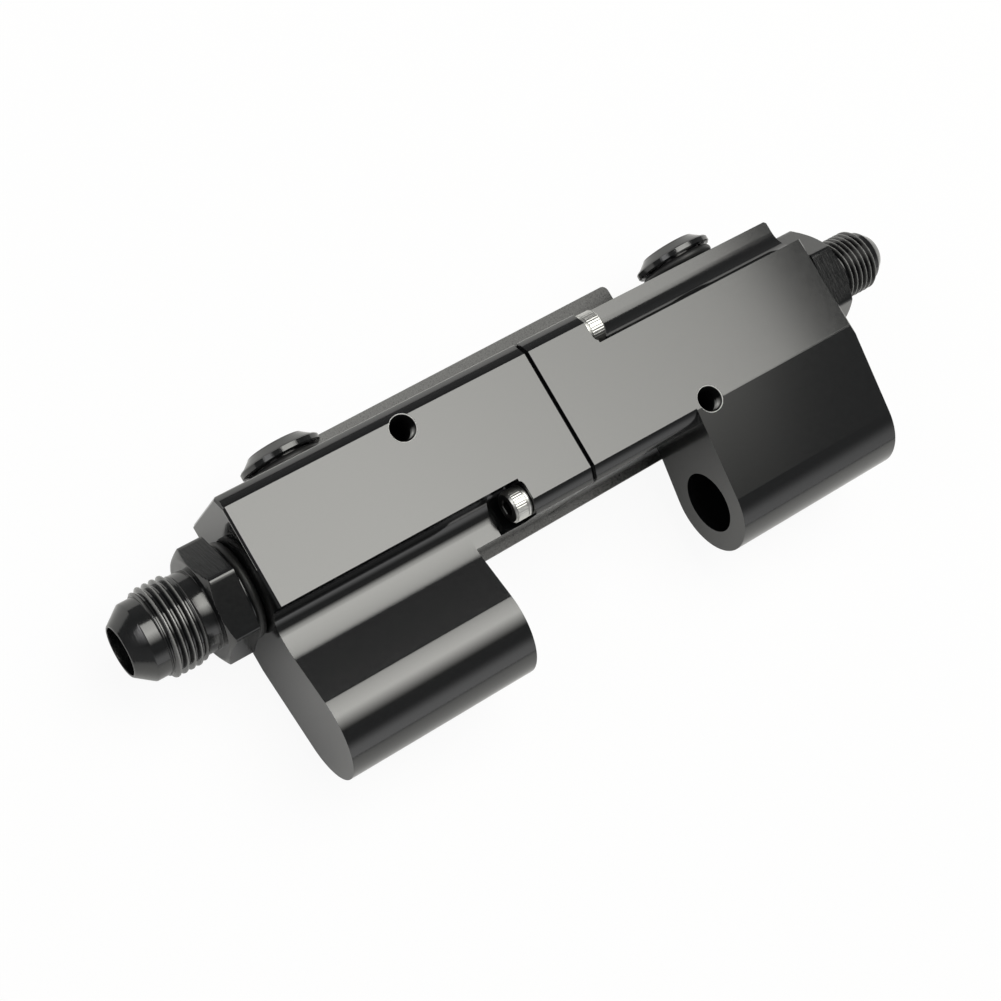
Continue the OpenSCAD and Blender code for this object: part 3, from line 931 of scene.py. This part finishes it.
@dataclass(frozen=True)
class Softbox:
    """Overhead cloth panel that glows most in its middle and fades to one long side.

    Attributes:
        name: Name of the panel.
        x: Its two ends along X, in metres.
        y: Its two ends along Y, in metres; the light fades to the first one.
        height: Height over the floor, in metres.
        strength: Radiance of the brightest part.
        even: Where the fade along X starts and where the fade to -Y starts.
        dim: Share of the light that is left at the far end along X and at the +Y side.
        colour: Colour of the light.
    """

    name: str
    x: tuple[float, float]
    y: tuple[float, float]
    height: float
    strength: float
    even: tuple[float, float]
    dim: tuple[float, float]
    colour: tuple[float, float, float] = (1.0, 1.0, 1.0)

    def build(self) -> bpy.types.Object:
        """Makes the panel and returns it."""
        (x0, x1), (y0, y1) = self.x, self.y
        mesh = bpy.data.meshes.new(self.name)
        corners = [(x, y, self.height) for x, y in ((x0, y0), (x0, y1), (x1, y1), (x1, y0))]
        mesh.from_pydata(corners, [], [(0, 1, 2, 3)])
        made = bpy.data.objects.new(self.name, mesh)
        bpy.context.scene.collection.objects.link(made)
        cloth = bpy.data.materials.new(self.name)
        cloth.use_nodes = True
        tree = cloth.node_tree
        tree.nodes.clear()
        link = tree.links.new
        out = add_node(tree, "ShaderNodeOutputMaterial", (700, 0))
        glow = add_node(tree, "ShaderNodeEmission", (500, 0))
        glow.inputs["Color"].default_value = (*self.colour, 1)
        where = add_node(tree, "ShaderNodeTexCoord", (-500, 0))
        parts = add_node(tree, "ShaderNodeSeparateXYZ", (-300, 0))
        link(where.outputs["Object"], parts.inputs[0])
        fades = (
            ("X", (self.even[0], x1), (1.0, self.dim[0]), 1.0),
            ("Y", (y0, self.even[1]), (0.0, 1.0), FALL_POWER),
            ("Y", (self.even[1], y1), (1.0, self.dim[1]), 1.0),
        )
        total = self.strength
        for row, (axis, ends, levels, power) in enumerate(fades):
            fade = ramp(tree, parts.outputs[axis], ends, levels, (-50, 250 - 250 * row))
            total = chain(tree, fade, ("POWER", power), ("MULTIPLY", total))
        link(total, glow.inputs["Strength"])
        link(glow.outputs[0], out.inputs["Surface"])
        mesh.materials.append(cloth)
        made.visible_camera = False
        return made


@dataclass
class Studio:
    """Floor, surroundings, lights and camera.

    Attributes:
        floor_size: Side of the floor, in metres.
        floor_drop: How far the floor lies under the part, in metres.
        floor_in_view: Share of plain white in what the camera sees of the floor.
        floor_in_gloss: The same for what gloss shows of it.
        ceiling: Radiance of the ceiling.
        walls: What the walls' radiance is multiplied by: the axis, two directions along it and two levels.
        camera_at: Place of the camera, in metres.
        camera_right: Direction to the right of the picture.
        camera_up: Direction to its upper side.
        camera_back: Direction from the scene to the camera.
        lens: Focal length, in millimetres.
    """

    floor_size: float = 12.0
    floor_drop: float = 0.0003
    floor_in_view: float = 0.93
    floor_in_gloss: float = 0.05
    ceiling: float = 0.15
    walls: tuple[tuple[str, tuple[float, float], tuple[float, float]], ...] = (
        ("Z", (0.24, 0.62), (1.0, 0.0)),
        ("Y", (-0.25, 0.25), (0.85, 0.05)),
        ("X", (0.2, 0.8), (1.0, 0.4)),
        ("X", (-0.75, -0.2), (0.1, 1.0)),
    )
    camera_at: tuple[float, float, float] = (-0.17838, -0.03390, 0.38780)
    camera_right: tuple[float, float, float] = (0.8016888, -0.50258261, 0.32358273)
    camera_up: tuple[float, float, float] = (0.43873923, 0.86241317, 0.25249042)
    camera_back: tuple[float, float, float] = (-0.4059593, -0.0604503, 0.91188969)
    lens: float = 70.017

    def build(self) -> None:
        """Builds the whole stage."""
        self._floor()
        self._surroundings()
        Softbox(
            "overhead_panel", x=(-0.15, 0.71), y=(-0.58, 0.58), height=1.0, strength=5.5,
            even=(0.33, 0.0), dim=(0.66, 0.74), colour=(1.0, 0.994, 0.945),
        ).build()
        Softbox(
            "side_panel", x=(-1.7, -0.75), y=(-0.6, 0.9), height=1.0, strength=3.2,
            even=(-0.76, 0.6), dim=(1.0, 1.0),
        ).build()
        self._camera()
        bpy.context.scene.view_settings.view_transform = "Standard"

    def _floor(self) -> None:
        """Pale floor that the camera sees as white, with a faint shadow."""
        half = self.floor_size / 2
        mesh = bpy.data.meshes.new("floor")
        corners = [(-half, -half, 0), (half, -half, 0), (half, half, 0), (-half, half, 0)]
        mesh.from_pydata(corners, [], [(0, 1, 2, 3)])
        floor = bpy.data.objects.new("floor", mesh)
        floor.location.z = -self.floor_drop
        bpy.context.scene.collection.objects.link(floor)
        made = bpy.data.materials.new("floor_paper")
        made.use_nodes = True
        tree = made.node_tree
        tree.nodes.clear()
        link = tree.links.new
        out = add_node(tree, "ShaderNodeOutputMaterial", (700, 0))
        paper = add_node(tree, "ShaderNodeBsdfDiffuse", (0, 100))
        paper.inputs["Color"].default_value = (0.9, 0.9, 0.9, 1)
        glow = add_node(tree, "ShaderNodeEmission", (0, -100))
        rays = add_node(tree, "ShaderNodeLightPath", (-500, 300))
        mix = add_node(tree, "ShaderNodeMixShader", (450, 0))
        reflected = chain(
            tree, rays.outputs["Is Glossy Ray"], ("MAXIMUM", rays.outputs["Is Transmission Ray"]),
            ("MULTIPLY", self.floor_in_gloss),
        )
        seen = chain(
            tree, rays.outputs["Is Camera Ray"], ("MULTIPLY", self.floor_in_view), ("MAXIMUM", reflected),
        )
        link(seen, mix.inputs["Fac"])
        link(paper.outputs[0], mix.inputs[1])
        link(glow.outputs[0], mix.inputs[2])
        link(mix.outputs[0], out.inputs["Surface"])
        mesh.materials.append(made)

    def _surroundings(self) -> None:
        """White walls up to mid height, darker to +Y and -X, and a dark ceiling."""
        world = bpy.data.worlds.new("studio")
        world.use_nodes = True
        tree = world.node_tree
        tree.nodes.clear()
        link = tree.links.new
        out = add_node(tree, "ShaderNodeOutputWorld", (800, 0))
        sky = add_node(tree, "ShaderNodeBackground", (600, 0))
        where = add_node(tree, "ShaderNodeTexCoord", (-500, 0))
        parts = add_node(tree, "ShaderNodeSeparateXYZ", (-300, 0))
        link(where.outputs["Generated"], parts.inputs[0])
        total: float | bpy.types.NodeSocket = 1.0
        for row, (axis, ends, levels) in enumerate(self.walls):
            wall = ramp(tree, parts.outputs[axis], ends, levels, (-50, 250 - 250 * row), "SMOOTHSTEP")
            total = chain(tree, wall, ("MULTIPLY", total))
        link(chain(tree, total, ("ADD", self.ceiling)), sky.inputs["Strength"])
        link(sky.outputs[0], out.inputs["Surface"])
        sky.inputs["Color"].default_value = (1, 1, 1, 1)
        bpy.context.scene.world = world

    def _camera(self) -> None:
        """Camera at the photograph's place."""
        data = bpy.data.cameras.new("camera")
        data.lens = self.lens
        data.sensor_width = 36.0
        data.clip_start, data.clip_end = 0.01, 100.0
        camera = bpy.data.objects.new("camera", data)
        turn = Matrix((self.camera_right, self.camera_up, self.camera_back)).transposed()
        camera.matrix_world = Matrix.Translation(self.camera_at) @ turn.to_4x4()
        bpy.context.scene.collection.objects.link(camera)
        bpy.context.scene.camera = camera


def main() -> None:
    """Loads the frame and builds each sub-assembly in order."""
    logging.basicConfig(level=logging.INFO, format="%(name)s: %(message)s")
    for leftover in list(bpy.data.objects):
        bpy.data.objects.remove(leftover)
    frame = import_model()
    nodes = frame["nodes"]
    assemblies = (
        Machined(("inlet_block", "outlet_block"), ANODISED, Slot.BLOCK, edge=0.36),
        Machined(("inlet_plug", "outlet_plug"), FITTING, Slot.FITTING, edge=0.1),
        Machined(
            ("inlet_fitting_seal", "outlet_fitting_seal", "inlet_plug_seal", "outlet_plug_seal",
             "seam_seal", "inlet_sensor_seal", "outlet_sensor_seal"), RUBBER, Slot.SEAL,
        ),
        Machined(("bracket",), COATED, Slot.BRACKET, edge=0.3),
        Machined(("lower_bracket_screw", "upper_bracket_screw"), PLATED, Slot.SCREW, edge=0.1),
    )
    for group in assemblies:
        for piece in group.build(nodes):
            LOG.info("%s: %s", piece.name, group.finish.name)
    pieces = (
        Fitting(
            Way.INLET, thread_r=9.525, pitch=1.5875, nose_l=17.5, collar_l=2.8, bore_r=5.1,
            hex_turn=17.9,
        ),
        Fitting(
            Way.OUTLET, thread_r=7.145, pitch=1.411, nose_l=16.2, collar_l=1.3, bore_r=3.7,
            hex_turn=10.9,
        ),
        ClampScrew("front_lower_screw", (-15.1, -12.3, 11.4), Way.INLET),
        ClampScrew("front_upper_screw", (15.1, 12.3, 11.4), Way.OUTLET, head_r=3.8, head_l=4.6),
        ClampScrew("rear_upper_screw", (-15.1, 12.3, -11.4), Way.INLET),
        ClampScrew("rear_lower_screw", (15.1, -12.3, -11.4), Way.OUTLET),
        TappedHole("inlet_mounting_thread", (-31.8, 11.3)),
        TappedHole("outlet_mounting_thread", (31.8, -12.9)),
    )
    for maker in pieces:
        LOG.info("%s", maker.build().name)
    Studio().build()


if __name__ == "__main__":
    main()
